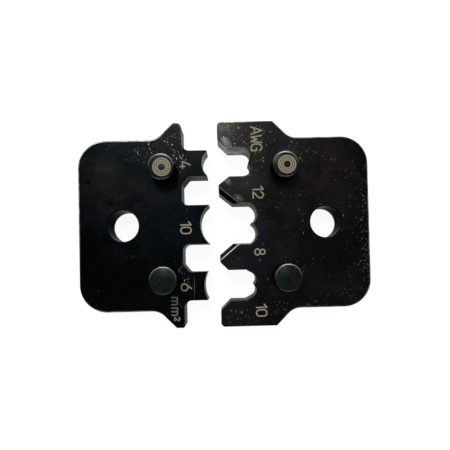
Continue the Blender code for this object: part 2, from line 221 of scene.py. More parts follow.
def nest(centre, half_width, sizes):
    """Return a nest from its lower wall to its upper one: two lobes that meet at a cusp."""
    floor, lobe_offset, cusp_radius, side_radius, shoulder_height = sizes
    cusp_sweep = math.asin(lobe_offset / cusp_radius)
    half = arc_points((floor + cusp_radius, lobe_offset), cusp_radius,
                      math.pi + cusp_sweep, math.pi)
    rise = shoulder_height - side_radius
    run = half_width - lobe_offset
    distance = math.hypot(rise, run)
    shoulder = []
    if distance > side_radius:
        side_sweep = math.atan2(run, -rise) - math.acos(side_radius / distance)
        shoulder.append((floor + shoulder_height, half_width))
    else:
        side_sweep = math.asin(run / side_radius)
    half += arc_points((floor + side_radius, lobe_offset), side_radius,
                       math.pi, math.pi - side_sweep)[1:] + shoulder
    lower = [(u, centre - v) for u, v in reversed(half)]
    return lower + [(u, centre + v) for u, v in half[1:]]


def back_and_shoulder(side, *tip_radius):
    return [
        (-BACK_DISTANCE, side * BODY_HALF, BACK_RADIUS),
        (SHOULDER_START, side * BODY_HALF, SHOULDER_FILLET),
        (SHOULDER_END, side * EAR_HALF, *tip_radius),
    ]


def anvil_ear(side, chamfer, tooth_flank, *tip_radius):
    return [
        (ANVIL_EAR_REACH - chamfer, side * EAR_HALF, *tip_radius),
        (ANVIL_EAR_REACH, side * (EAR_HALF - chamfer), *tip_radius),
        (ANVIL_EAR_REACH, tooth_flank, EAR_ROOT_FILLET),
    ]


def gullet(middle_flank, outer_flank):
    side = math.copysign(1.0, outer_flank - middle_flank)
    return [
        (GULLET_REACH, middle_flank, GULLET_FILLET),
        (GULLET_REACH, outer_flank - side * GULLET_SLANT_WIDTH, GULLET_SLANT_FILLET),
        (GULLET_REACH + GULLET_SLANT_DEPTH, outer_flank, GULLET_SLANT_FILLET),
    ]


def anvil_outline():
    """Return the anvil plate's outline: both ears, the three hollow teeth and the gullets."""
    four_low = STATION_PITCH - FOUR_TOOTH_HALF
    four_high = STATION_PITCH + FOUR_TOOTH_HALF
    six_low = -STATION_PITCH - SIX_TOOTH_HALF
    six_high = -STATION_PITCH + SIX_TOOTH_HALF
    return rounded(
        back_and_shoulder(-1)
        + anvil_ear(-1, ANVIL_LOWER_EAR_CHAMFER, six_low)
        + hollow(SIX_TOOTH, six_low, six_high)
        + gullet(-TEN_TOOTH_HALF, six_high)[::-1]
        + hollow(TEN_TOOTH, -TEN_TOOTH_HALF, TEN_TOOTH_HALF)
        + gullet(TEN_TOOTH_HALF, four_low)
        + hollow(FOUR_TOOTH, four_low, four_high)
        + anvil_ear(1, ANVIL_UPPER_EAR_CHAMFER, four_high, ANVIL_TIP_RADIUS)[::-1]
        + back_and_shoulder(1, ANVIL_TIP_RADIUS)[::-1]
    )


def nest_ear(side, nest_wall):
    return [
        (NEST_EAR_REACH - NEST_EAR_CHAMFER, side * EAR_HALF),
        (NEST_EAR_REACH, side * (EAR_HALF - NEST_EAR_CHAMFER)),
        (NEST_EAR_REACH, nest_wall + side * EAR_LEAD),
        (NEST_EAR_REACH - EAR_LEAD, nest_wall),
    ]


def finger(side, outer_wall, outer_lead):
    depth, width = MIDDLE_LEAD
    outer_depth, outer_width = outer_lead
    return [
        (FINGER_REACH - depth, side * TEN_NEST_HALF),
        (FINGER_REACH, side * (TEN_NEST_HALF + width)),
        (FINGER_REACH, outer_wall - side * outer_width),
        (FINGER_REACH - outer_depth, outer_wall),
    ]


def nest_outline():
    """Return the nest plate's outline: both ears, the three nests and the fingers between them."""
    four_low = STATION_PITCH - FOUR_NEST_HALF
    four_high = STATION_PITCH + FOUR_NEST_HALF
    six_low = -STATION_PITCH - SIX_NEST_HALF
    six_high = -STATION_PITCH + SIX_NEST_HALF
    return rounded(
        back_and_shoulder(-1)
        + nest_ear(-1, six_low)
        + nest(-STATION_PITCH, SIX_NEST_HALF, SIX_NEST)
        + finger(-1, six_high, SIX_LEAD)[::-1]
        + nest(0.0, TEN_NEST_HALF, TEN_NEST)
        + finger(1, four_low, FOUR_LEAD)
        + nest(STATION_PITCH, FOUR_NEST_HALF, FOUR_NEST)
        + nest_ear(1, four_high)[::-1]
        + back_and_shoulder(1)[::-1]
    )


# Solids

def settled(shape, name):
    """Turn a bmesh in millimetres into an object in metres, with its faces pointing out."""
    bmesh.ops.recalc_face_normals(shape, faces=shape.faces)
    bmesh.ops.transform(shape, matrix=Matrix.Scale(METRES, 4), verts=shape.verts)
    mesh = bpy.data.meshes.new(name)
    shape.to_mesh(mesh)
    shape.free()
    piece = bpy.data.objects.new(name, mesh)
    bpy.context.scene.collection.objects.link(piece)
    return piece


def turned(profile, centre, name):
    """Spin a profile of (radius, height) points about a vertical axis through the centre."""
    shape = bmesh.new()
    verts = [shape.verts.new((radius, 0.0, height)) for radius, height in profile]
    edges = [shape.edges.new(pair) for pair in zip(verts, verts[1:])]
    bmesh.ops.spin(shape, geom=verts + edges, axis=(0, 0, 1), cent=(0, 0, 0),
                   angle=2 * math.pi, steps=ROUND_SEGMENTS)
    bmesh.ops.remove_doubles(shape, verts=shape.verts, dist=WELD_DISTANCE)
    bmesh.ops.translate(shape, verts=shape.verts, vec=(*centre, 0.0))
    return settled(shape, name)


def blank(outline, bolt_x, direction, name):
    """Make a plate without its holes: the outline raised, with both faces' edges rounded."""
    shape = bmesh.new()
    rim = [shape.verts.new((bolt_x + direction * u, v, 0.0)) for u, v in eased(outline)]
    underside = shape.faces.new(rim)
    lifted = bmesh.ops.extrude_face_region(shape, geom=[underside])["geom"]
    upper = [item for item in lifted if isinstance(item, bmesh.types.BMVert)]
    bmesh.ops.translate(shape, verts=upper, vec=(0, 0, THICKNESS))
    bmesh.ops.recalc_face_normals(shape, faces=shape.faces)
    rims = [edge for edge in shape.edges if edge.verts[0].co.z == edge.verts[1].co.z]
    bmesh.ops.bevel(shape, geom=rims, offset=EDGE_BREAK, segments=3, profile=0.5,
                    affect="EDGES", clamp_overlap=False)
    return settled(shape, name)


def bevel_bar(direction, bolt_x, side, name):
    """Make the square bar, turned on its corner, that bevels one flank of the middle nest."""
    depth, width = MIDDLE_LEAD
    tip = Vector((FINGER_REACH, side * (TEN_NEST_HALF + width)))
    root = Vector((FINGER_REACH - depth, side * TEN_NEST_HALF))
    run = tip - root
    size = FLANK_BEVELS[side] * math.sqrt(2)
    shape = bmesh.new()
    bmesh.ops.create_cube(shape, size=1.0)
    bmesh.ops.scale(shape, vec=(run.length + 2 * BEVEL_OVERRUN, size, size), verts=shape.verts)
    middle = (tip + root) / 2
    painted_light_slope = math.atan2(run.y, direction * run.x)
    place = Matrix.Translation((bolt_x + direction * middle.x, middle.y, THICKNESS))
    turn = Matrix.Rotation(painted_light_slope, 4, "Z") @ Matrix.Rotation(math.pi / 4, 4, "X")
    bmesh.ops.transform(shape, matrix=place @ turn, verts=shape.verts)
    return settled(shape, name)


def cut(body, cutters):
    """Take cutters out of a body, and leave its mesh settled and the cutters gone."""
    for cutter in cutters:
        taken = body.modifiers.new(cutter.name, "BOOLEAN")
        taken.operation = "DIFFERENCE"
        taken.solver = "EXACT"
        taken.object = cutter
    bpy.context.view_layer.update()
    evaluated = body.evaluated_get(bpy.context.evaluated_depsgraph_get())
    mesh = bpy.data.meshes.new_from_object(evaluated)
    body.modifiers.clear()
    body.data = mesh
    for cutter in cutters:
        bpy.data.objects.remove(cutter, do_unlink=True)


def smooth(piece):
    """Shade curved walls smooth and keep the large faces flat beside their rounded edges."""
    piece.data.shade_smooth()
    piece.data.set_sharp_from_angle(angle=SHARP_ANGLE)
    weighted = piece.modifiers.new("flat_faces", "WEIGHTED_NORMAL")
    weighted.keep_sharp = True
    weighted.weight = 100


def mark_rims(piece, low, high):
    """Write the attribute rim: 1 on the broken edges round the faces at heights low and high."""
    rim = piece.data.attributes.new("rim", "FLOAT", "FACE")
    reach = (EDGE_BREAK + RIM_MARGIN) * METRES
    for face in piece.data.polygons:
        heights = [piece.data.vertices[index].co.z for index in face.vertices]
        near_edge = min(heights) > high * METRES - reach or max(heights) < low * METRES + reach
        slanted = 0.1 < abs(face.normal.z) < 0.99
        rim.data[face.index].value = 1.0 if near_edge and slanted else 0.0


def plate(name, outline, bolt_x, direction, flanks):
    body = blank(outline, bolt_x, direction, name)
    flare = BOLT_HOLE_RADIUS + BOLT_HOLE_CHAMFER + CUT_MARGIN
    cutters = [turned([
        (0.0, THICKNESS + CUT_MARGIN),
        (flare, THICKNESS + CUT_MARGIN),
        (BOLT_HOLE_RADIUS, THICKNESS - BOLT_HOLE_CHAMFER),
        (BOLT_HOLE_RADIUS, BOLT_HOLE_CHAMFER),
        (flare, -CUT_MARGIN),
        (0.0, -CUT_MARGIN),
    ], (bolt_x, 0.0), name + "_drill")]
    for radius, y in ((RING_PIN_RADIUS, PIN_Y), (PLAIN_PIN_RADIUS, -PIN_Y)):
        bore = radius + PRESS_GAP
        cutters.append(turned([
            (0.0, THICKNESS + CUT_MARGIN),
            (bore, THICKNESS + CUT_MARGIN),
            (bore, -CUT_MARGIN),
            (0.0, -CUT_MARGIN),
        ], (bolt_x + direction * PIN_OFFSET, y), name + "_reamer"))
    for side in flanks:
        cutters.append(bevel_bar(direction, bolt_x, side, name + "_bar"))
    cut(body, cutters)
    mark_rims(body, 0.0, THICKNESS)
    smooth(body)
    return body


def pin(name, radius, chamfer, centre):
    """Turn a locating pin with its ends chamfered and the chamfers' corners just broken."""
    corner = PIN_CORNER_BREAK
    end = PIN_TOP - MARK_HEIGHT
    body = turned([
        (0.0, end),
        (radius - chamfer - corner, end),
        (radius - chamfer + corner / 2, end - corner / 2),
        (radius - corner / 2, PIN_TOP - chamfer + corner / 2),
        (radius, PIN_TOP - chamfer - corner),
        (radius, PIN_FOOT + chamfer),
        (radius - chamfer, PIN_FOOT),
        (0.0, PIN_FOOT),
    ], centre, name)
    mark_rims(body, PIN_FOOT, PIN_TOP)
    smooth(body)
    return body


# Marks


def bow(centre, radii, start, end, steps=14):
    """Return part of an ellipse; the angles are in degrees, anticlockwise from the right."""
    angles = [math.radians(start + (end - start) * step / steps) for step in range(steps + 1)]
    return [(centre[0] + radii[0] * math.cos(a), centre[1] + radii[1] * math.sin(a))
            for a in angles]


# Centre lines of each character's strokes, in millimetres right and up from its lower left
STROKES = {
    "0": [bow((0.55, 1.25), (0.55, 0.55), 0, 180) + bow((0.55, 0.55), (0.55, 0.55), 180, 360)
          + [(1.1, 1.25)]],
    "1": [[(0.0, 1.38), (0.55, 1.8), (0.55, 0.0)]],
    "2": [bow((0.55, 1.25), (0.53, 0.53), 165, -35) + [(0.0, 0.0), (1.1, 0.0)]],
    "4": [[(0.64, 1.8), (0.0, 0.45), (1.22, 0.45)], [(0.88, 0.84), (0.88, 0.0)]],
    "6": [[(0.83, 1.78)] + bow((0.6, 0.58), (0.6, 0.58), 150, 510)],
    "8": [bow((0.55, 1.35), (0.44, 0.43), -90, 270), bow((0.55, 0.46), (0.53, 0.46), 90, 450)],
    "A": [[(0.0, 0.0), (0.6, 1.8), (0.68, 1.8), (1.28, 0.0)], [(0.2, 0.6), (1.08, 0.6)]],
    "W": [[(0.0, 1.8), (0.25, 0.0), (0.62, 1.0), (0.99, 0.0), (1.24, 1.8)]],
    "G": [bow((0.62, 1.22), (0.6, 0.58), 20, 180) + bow((0.62, 0.58), (0.6, 0.58), 180, 270)
          + [(1.15, 0.0), (1.15, 0.9), (0.75, 0.9)]],
    "m": [[(0.0, 0.0), (0.0, 1.0)],
          [(0.0, 0.72)] + bow((0.31, 0.72), (0.31, 0.28), 180, 0) + [(0.62, 0.0)],
          [(0.62, 0.72)] + bow((0.93, 0.72), (0.31, 0.28), 180, 0) + [(1.24, 0.0)]],
}


def band(start, end):
    """Return the outline of one straight length of a stroke, with round ends."""
    way = math.atan2(end[1] - start[1], end[0] - start[0])
    outline = []
    for point, facing in ((end, way), (start, way + math.pi)):
        for step in range(STROKE_END_STEPS + 1):
            angle = facing - math.pi / 2 + math.pi * step / STROKE_END_STEPS
            outline.append(Vector((point[0] + MARK_STROKE / 2 * math.cos(angle),
                                   point[1] + MARK_STROKE / 2 * math.sin(angle))))
    return outline


def etched(name, characters, corner, size=1.0):
    """Lay characters on a plate's top, read downwards, with their tops towards +X.

    The corner is where the first character's lower left stands; each character is followed by
    the distance in millimetres from the line's start at which it begins.
    """
    outlines = []
    for character, start in characters:
        for stroke in STROKES[character]:
            for first, last in zip(stroke, stroke[1:]):
                outlines.append(band((start + first[0] * size, first[1] * size),
                                     (start + last[0] * size, last[1] * size)))
    points = [point for outline in outlines for point in outline]
    rings = []
    for outline in outlines:
        begin = sum(map(len, rings))
        rings.append(list(range(begin, begin + len(outline))))
    corners, _, faces, _, _, sources = delaunay_2d_cdt(points, [], rings, 1,
                                                       STROKE_WELD_DISTANCE)
    shape = bmesh.new()
    verts = [shape.verts.new((corner[0] + p.y, corner[1] - p.x, THICKNESS)) for p in corners]
    for face, source in zip(faces, sources):
        if source:
            shape.faces.new([verts[index] for index in face])
    loose = [vert for vert in shape.verts if not vert.link_faces]
    bmesh.ops.delete(shape, geom=loose, context="VERTS")
    lifted = bmesh.ops.extrude_face_region(shape, geom=shape.faces[:])["geom"]
    upper = [item for item in lifted if isinstance(item, bmesh.types.BMVert)]
    bmesh.ops.translate(shape, verts=upper, vec=(0, 0, MARK_HEIGHT))
    return settled(shape, name)


def ring_mark(name, centre):
    """Lay fine rings on a pin's end."""
    shape = bmesh.new()
    end = PIN_TOP - MARK_HEIGHT
    for inner, outer in RING_MARK_RADII:
        profile = [(inner, end), (inner, PIN_TOP), (outer, PIN_TOP), (outer, end)]
        verts = [shape.verts.new((radius, 0.0, height)) for radius, height in profile]
        edges = [shape.edges.new(pair) for pair in zip(verts, verts[1:] + verts[:1])]
        bmesh.ops.spin(shape, geom=verts + edges, axis=(0, 0, 1), cent=(0, 0, 0),
                       angle=2 * math.pi, steps=ROUND_SEGMENTS)
    bmesh.ops.remove_doubles(shape, verts=shape.verts, dist=WELD_DISTANCE)
    bmesh.ops.translate(shape, verts=shape.verts, vec=(*centre, 0.0))
    return settled(shape, name)


# Materials

def linear(hex_colour):
    """Turn an sRGB hex colour into linear red, green, blue and alpha."""
    channels = [int(hex_colour[start:start + 2], 16) / 255 for start in (1, 3, 5)]
    return (*[c / 12.92 if c <= 0.04045 else ((c + 0.055) / 1.055) ** 2.4 for c in channels], 1.0)


def add(tree, kind, inputs=(), out=0, **settings):
    """Add a node with its settings, fill or link its inputs, and return one of its outputs."""
    node = tree.nodes.new("ShaderNode" + kind)
    for name, value in settings.items():
        setattr(node, name, value)
    for socket, value in dict(inputs).items():
        if isinstance(value, bpy.types.NodeSocket):
            tree.links.new(value, node.inputs[socket])
        else:
            node.inputs[socket].default_value = value
    return node.outputs[out] if node.outputs else None


def new_material(name):
    material = bpy.data.materials.new(name)
    material.use_nodes = True
    material.node_tree.nodes.clear()
    return material, material.node_tree


def places(tree):
    """Return the place in millimetres, and the same flattened onto the plates' faces."""
    own = add(tree, "TexCoord", out="Object")
    full = add(tree, "VectorMath", {0: own, "Scale": 1 / METRES}, operation="SCALE")
    return full, add(tree, "VectorMath", {0: full, 1: (1, 1, 0)}, operation="MULTIPLY")


def in_plain_view(tree):
    """Return 1 for what the camera sees directly, in a reflection or through glass."""
    path = add(tree, "LightPath").node.outputs
    seen = add(tree, "Math", {0: path["Is Camera Ray"], 1: path["Is Glossy Ray"]},
               operation="MAXIMUM")
    return add(tree, "Math", {0: seen, 1: path["Is Transmission Ray"]}, operation="MAXIMUM")


def spots(tree, place, shapes):
    """Add up soft-edged ellipses, each given as (strength, centre, reach, degrees)."""
    amount = 0.0
    for strength, centre, reach, degrees in shapes:
        local = add(tree, "Mapping", {
            "Vector": place,
            "Location": (*centre, 0.0),
            "Rotation": (0.0, 0.0, math.radians(degrees)),
            "Scale": (*reach, 1.0),
        }, vector_type="TEXTURE")
        away = add(tree, "VectorMath", {0: local}, "Value", operation="LENGTH")
        near = add(tree, "MapRange", {"Value": away, "From Min": 1.0, "From Max": 0.0},
                   interpolation_type="SMOOTHSTEP")
        amount = add(tree, "Math", {0: near, 1: strength, 2: amount}, operation="MULTIPLY_ADD")
    return amount


def nicks(tree, place, share, sizes):
    """Scatter short curved scratches, each size given as (cell, half length, half width).

    A cell holds one scratch or none, and share is the chance of one. What chance leaves over its
    limit also sets how bright the scratch is, and some are shallower and stay dim.
    """
    bend = add(tree, "TexNoise", {"Vector": place, "Scale": 1.6, "Detail": 1.0}, "Color",
               noise_dimensions="2D")
    bent = add(tree, "VectorMath", {0: bend, 1: (0.8, 0.8, 0.0), 2: place},
               operation="MULTIPLY_ADD")
    amount = 0.0
    for cell, length, width in sizes:
        cells = add(tree, "TexVoronoi", {"Vector": bent, "Scale": 1 / cell},
                    voronoi_dimensions="2D").node.outputs
        offset = add(tree, "VectorMath", {0: bent, 1: cells["Position"]}, operation="SUBTRACT")
        way, size, luck = add(tree, "SeparateColor", {0: cells["Color"]}).node.outputs
        angle = add(tree, "Math", {0: way, 1: 2 * math.pi}, operation="MULTIPLY")
        along = add(tree, "VectorRotate", {"Vector": offset, "Angle": angle},
                    rotation_type="Z_AXIS")
        shrink = add(tree, "MapRange", {"Value": size, "To Min": 3 / length, "To Max": 1 / length})
        stretch = add(tree, "CombineXYZ", {"X": shrink, "Y": 1 / width})
        local = add(tree, "VectorMath", {0: along, 1: stretch}, operation="MULTIPLY")
        away = add(tree, "VectorMath", {0: local}, "Value", operation="LENGTH")
        shape = add(tree, "MapRange", {"Value": away, "From Min": 1.0, "From Max": 0.4})
        margin = add(tree, "Math", {0: luck, 1: share}, operation="ADD")
        bright = add(tree, "MapRange", {"Value": margin, "From Min": 1.0, "From Max": 1.3})
        depth = add(tree, "MapRange", {"Value": way, "To Min": 0.3})
        bright = add(tree, "Math", {0: bright, 1: depth}, operation="MULTIPLY")
        amount = add(tree, "Math", {0: shape, 1: bright, 2: amount}, operation="MULTIPLY_ADD",
                     use_clamp=True)
    return amount


def black_oxide(name, bolt_x, tones, painted_light_slope, tints_and_painted_shade, nick_share, rub_and_highlight_colour, rubbed_and_lit_places,
                worn_places, scratches_and_edge_highlights, pale_patches_and_painted_sheen, bright_walls):
    """Black-oxide finish on ground tool steel.

    It is a thin conversion layer, so it keeps the steel's satin gloss but is nearly black.
    Handling has nicked it: short bare-steel scratches, and a grey or olive rub along the broken
    edges that is partly wear and partly a painted edge highlight. Cloudy shifts of green, blue and
    brown lie where the layer is thinner or thicker, and painted light lies over them: the tone
    rises towards the softbox's reflection, some patches are painted shade or painted pin shadows,
    a bevel facet carries a painted reflection and bevel edges carry painted highlights. The
    working edges were cut after blackening, so their walls show grey steel.
    """
    material, tree = new_material(name)
    place, flat = places(tree)
    x, y, _ = add(tree, "SeparateXYZ", {0: place}).node.outputs
    upright = add(tree, "SeparateXYZ", {0: add(tree, "TexCoord", out="Normal")}, 2)
    level = add(tree, "Math", {0: upright}, operation="ABSOLUTE")
    on_face = add(tree, "MapRange", {"Value": level, "From Min": 0.9, "From Max": 0.97})
    on_wall = add(tree, "MapRange", {"Value": level, "From Min": 0.35, "From Max": 0.2})

    # Clouds about 6 mm across, with painted light on top: the tone rises along the slope, lighter
    # towards the overhead softbox's reflection and darker away from it
    clouds = add(tree, "TexNoise", {"Vector": place, "Scale": 1 / 6.0, "Detail": 6.0,
                                    "Roughness": 0.6})
    rise = add(tree, "VectorMath", {0: place, 1: (*painted_light_slope, 0.0)}, "Value",
               operation="DOT_PRODUCT")
    tone = add(tree, "Math", {0: rise, 1: clouds}, operation="ADD")
    ramp = add(tree, "ValToRGB", {"Fac": tone}).node
    for _ in tones[2:]:
        ramp.color_ramp.elements.new(0.5)
    for element, (position, colour) in zip(ramp.color_ramp.elements, tones):
        element.position = position
        element.color = linear(colour)
    oxide = ramp.outputs[0]

    # Wide tints with ragged borders, where the layer's thickness turns its colour. Some of them
    # are painted shade instead: a near-black patch in the anvil's lower left, and dark olive
    # beside the nest's pins for their shadows
    ragged = add(tree, "TexNoise", {"Vector": flat, "Scale": 1 / 3.0, "Detail": 5.0,
                                    "Roughness": 0.65}, "Color", normalize=False)
    strayed = add(tree, "VectorMath", {0: ragged, 1: (5.0, 5.0, 0.0), 2: flat},
                  operation="MULTIPLY_ADD")
    for tint, shapes in tints_and_painted_shade:
        tinted = add(tree, "Math", {0: spots(tree, strayed, shapes), 1: 1.0}, operation="MINIMUM")
        oxide = add(tree, "Mix", {0: tinted, 6: oxide, 7: linear(tint)}, 2, data_type="RGBA")

    # Grinding grain, drawn at 0.45 mm because the real 0.05 mm is too fine to show
    grain = add(tree, "TexNoise", {"Vector": place, "Scale": 1 / 0.45, "Detail": 3.0})
    lift = add(tree, "MapRange", {"Value": grain, "From Min": 0.35, "From Max": 0.75,
                                  "To Max": 0.03})
    colour = add(tree, "Mix", {0: lift, 6: oxide, 7: linear("#33322f")}, 2, data_type="RGBA")

    # Pale patches are faint, wide and patchy, a few stronger and small; one lies on the middle
    # nest's lower flank bevel as a painted reflection
    patches = add(tree, "TexNoise", {"Vector": place, "Scale": 1 / 1.6, "Detail": 5.0,
                                     "Roughness": 0.6})
    patchy = add(tree, "MapRange", {"Value": patches, "From Min": 0.3, "From Max": 0.65})
    paling_and_sheen = add(tree, "Math", {0: spots(tree, flat, pale_patches_and_painted_sheen), 1: patchy}, operation="MULTIPLY")
    colour = add(tree, "Mix", {0: paling_and_sheen, 6: colour, 7: linear("#62625b")}, 2, data_type="RGBA")

    # Nicks lie in drifts about 4 mm across, and closer together in the worn places
    drifts = add(tree, "TexNoise", {"Vector": flat, "Scale": 1 / 4.0, "Detail": 2.0})
    drift = add(tree, "MapRange", {"Value": drifts, "From Min": 0.35, "From Max": 0.65,
                                   "To Min": 0.4, "To Max": 1.7})
    share = add(tree, "Math", {0: drift, 1: nick_share, 2: spots(tree, flat, worn_places)},
                operation="MULTIPLY_ADD")
    nicked = add(tree, "Math", {0: nicks(tree, flat, share, PLATE_NICKS), 1: on_face},
                 operation="MULTIPLY")
    rusty = add(tree, "MapRange", {"Value": drifts, "From Min": 0.55, "From Max": 0.65})
    bare = add(tree, "Mix", {0: rusty, 6: linear("#9c9c94"), 7: linear("#998070")}, 2,
               data_type="RGBA")
    colour = add(tree, "Mix", {0: nicked, 6: colour, 7: bare}, 2, data_type="RGBA")
    # Scratches in pale steel grey; the long lines along the middle nest's flank bevels are painted
    # highlights on the bevels' edges
    lines = add(tree, "Math", {0: spots(tree, flat, scratches_and_edge_highlights), 1: on_face}, operation="MULTIPLY")
    colour = add(tree, "Mix", {0: lines, 6: colour, 7: linear("#b4b3ab")}, 2, data_type="RGBA")

    # Working edges: level wire-cut streaks 0.5 mm apart, between the ears and off the bolt hole
    streaked = add(tree, "VectorMath", {0: place, 1: (0.5, 0.5, 2.0)}, operation="MULTIPLY")
    streaks = add(tree, "TexNoise", {"Vector": streaked, "Scale": 1.0, "Detail": 4.0})
    streak = add(tree, "MapRange", {"Value": streaks, "From Min": 0.35, "From Max": 0.65,
                                    "To Min": 0.35, "To Max": 1.0})
    bared = add(tree, "Math", {0: spots(tree, flat, bright_walls), 1: 0.15}, operation="ADD")
    between = add(tree, "Math", {0: x, 1: WORKING_MIDDLE_X, 2: WORKING_HALF_X},
                  operation="COMPARE")
    inside = add(tree, "Math", {0: y, 1: 0.0, 2: WORKING_HALF_Y}, operation="COMPARE")
    working = add(tree, "Math", {0: between, 1: inside}, operation="MULTIPLY")
    bared = add(tree, "Math", {0: bared, 1: streak}, operation="MULTIPLY")
    bared = add(tree, "Math", {0: bared, 1: on_wall}, operation="MULTIPLY")
    bared = add(tree, "Math", {0: bared, 1: working}, operation="MULTIPLY")
    colour = add(tree, "Mix", {0: bared, 6: colour, 7: linear("#a6a8ab")}, 2, data_type="RGBA")

    # The outer walls were ground before blackening, and level lines 0.3 mm apart show faintly
    # through the oxide
    from_bolt = add(tree, "VectorMath", {0: flat, 1: (bolt_x, 0.0, 0.0)}, "Value",
                    operation="DISTANCE")
    in_hole = add(tree, "Math", {0: from_bolt, 1: 1.1 * BOLT_HOLE_RADIUS}, operation="LESS_THAN")
    recess = add(tree, "Math", {0: in_hole, 1: working}, operation="MAXIMUM")
    rough_cut = add(tree, "Math", {0: recess, 1: on_wall}, operation="MULTIPLY")
    outer = add(tree, "Math", {0: on_wall, 1: rough_cut}, operation="SUBTRACT")
    drawn = add(tree, "VectorMath", {0: place, 1: (0.12, 0.12, 3.3)}, operation="MULTIPLY")
    drawn = add(tree, "TexNoise", {"Vector": drawn, "Scale": 1.0, "Detail": 3.0})
    faint = add(tree, "MapRange", {"Value": drawn, "From Min": 0.35, "From Max": 0.65,
                                   "To Min": 0.012, "To Max": 0.034})
    faint = add(tree, "Math", {0: faint, 1: outer}, operation="MULTIPLY")
    colour = add(tree, "Mix", {0: faint, 6: colour, 7: linear("#a6a8ab")}, 2, data_type="RGBA")

    # Broken edges are worn through in patches, most where a hand or a jaw touches them, and the
    # pale rim is partly a painted edge highlight, strongest on the edges towards the softbox
    rim = add(tree, "Attribute", out="Fac", attribute_name="rim")
    rubbed_and_lit = add(tree, "MapRange", {"Value": patches, "From Min": 0.38, "From Max": 0.62,
                                    "To Min": 0.3, "To Max": 1.0})
    rubbed_and_lit = add(tree, "Math", {0: rubbed_and_lit, 1: rim}, operation="MULTIPLY")
    rubbed_and_lit = add(tree, "Math", {0: rubbed_and_lit, 1: spots(tree, flat, rubbed_and_lit_places)},
                 operation="MULTIPLY", use_clamp=True)
    colour = add(tree, "Mix", {0: rubbed_and_lit, 6: colour, 7: linear(rub_and_highlight_colour)}, 2, data_type="RGBA")

    gloss = add(tree, "MapRange", {"Value": clouds, "From Min": 0.3, "From Max": 0.7,
                                   "To Min": 0.26, "To Max": 0.31})
    height = add(tree, "Math", {0: grain, 1: 0.5, 2: nicked}, operation="MULTIPLY_ADD")
    relief = add(tree, "Bump", {"Height": height, "Strength": 0.1, "Distance": 0.02 * METRES})
    # At a grazing angle the oxide shines less than bare steel does, and least on the rough-cut
    # walls of the bolt hole and the stations
    oxide_edge = add(tree, "Mix", {0: rough_cut, 6: linear("#bcbcbc"), 7: linear("#2c2c2c")}, 2,
                     data_type="RGBA")
    edge = add(tree, "Mix", {0: bared, 6: oxide_edge, 7: linear("#b0b0b0")}, 2,
               data_type="RGBA")
    shader = add(tree, "BsdfPrincipled", {
        "Base Color": colour, "Metallic": 1.0, "Roughness": gloss, "Specular Tint": edge,
        "Normal": relief})
    add(tree, "OutputMaterial", {"Surface": shader})
    return material


def pin_steel():
    """Hardened dowel steel, ground and then blackened.

    The ends are a dull grey-green and the sides a satin dark grey. The chamfers carry a painted
    highlight: lighter on the side facing +Y, towards the softbox, and a little lighter on the side
    facing -Y.
    """
    material, tree = new_material("blackened_dowel_steel")
    place, flat = places(tree)
    clouds = add(tree, "TexNoise", {"Vector": place, "Scale": 1 / 1.2, "Detail": 5.0,
                                    "Roughness": 0.6})
    ramp = add(tree, "ValToRGB", {"Fac": clouds}).node
    for element, position, colour in zip(ramp.color_ramp.elements, (0.3, 0.75),
                                         ("#0c0f0f", "#1a1f1e")):
        element.position = position
        element.color = linear(colour)
    normal = add(tree, "SeparateXYZ", {0: add(tree, "TexCoord", out="Normal")}).node.outputs
    on_end = add(tree, "MapRange", {"Value": normal[2], "From Min": 0.9, "From Max": 0.97})
    fine = add(tree, "Math", {0: nicks(tree, flat, 0.45, PIN_NICKS), 1: on_end},
               operation="MULTIPLY")
    colour = add(tree, "Mix", {0: fine, 6: ramp.outputs[0], 7: linear("#4c5152")}, 2,
                 data_type="RGBA")
    rim = add(tree, "Attribute", out="Fac", attribute_name="rim")
    plain = add(tree, "Math", {0: rim, 1: 0.5}, operation="MULTIPLY")
    colour = add(tree, "Mix", {0: plain, 6: colour, 7: linear("#242728")}, 2, data_type="RGBA")
    # Painted highlight on the chamfers, lighter where they face +Y towards the softbox and a
    # little where they face -Y
    lower = add(tree, "MapRange", {"Value": normal[1], "From Min": -0.5, "From Max": -0.7,
                                   "To Max": 0.35})
    upper = add(tree, "MapRange", {"Value": normal[1], "From Min": -0.05, "From Max": 0.6})
    chamfer_highlight = add(tree, "Math", {0: lower, 1: upper}, operation="ADD")
    chamfer_highlight = add(tree, "Math", {0: chamfer_highlight, 1: rim}, operation="MULTIPLY")
    colour = add(tree, "Mix", {0: chamfer_highlight, 6: colour, 7: linear("#6f7172")}, 2, data_type="RGBA")
    shader = add(tree, "BsdfPrincipled", {
        "Base Color": colour, "Metallic": 1.0, "Roughness": 0.3,
        "Specular Tint": linear("#3c3c3c")})
    add(tree, "OutputMaterial", {"Surface": shader})
    return material


def etched_mark(name, dark_tan, light_tan):
    """Steel bared and frosted by marking: a dry, even tan that hardly shines."""
    material, tree = new_material(name)
    place, flat = places(tree)
    grain = add(tree, "TexNoise", {"Vector": place, "Scale": 1 / 0.2, "Detail": 2.0})
    tone = add(tree, "MapRange", {"Value": grain, "From Min": 0.3, "From Max": 0.7})
    colour = add(tree, "Mix", {0: tone, 6: linear(dark_tan), 7: linear(light_tan)}, 2,
                 data_type="RGBA")
    # Darker round the anvil's lowest marks, at (-8.5, -14) mm
    darker_spot = spots(tree, flat, [(0.75, (-8.5, -14.0), (6.0, 5.5), 0.0)])
    colour = add(tree, "Mix", {0: darker_spot, 6: colour, 7: linear("#2c2b27")}, 2, data_type="RGBA")
    shader = add(tree, "BsdfPrincipled", {"Base Color": colour, "Roughness": 0.65})
    add(tree, "OutputMaterial", {"Surface": shader})
    return material


# The dies. Each place in these lists is (strength, centre, reach, degrees), in millimetres

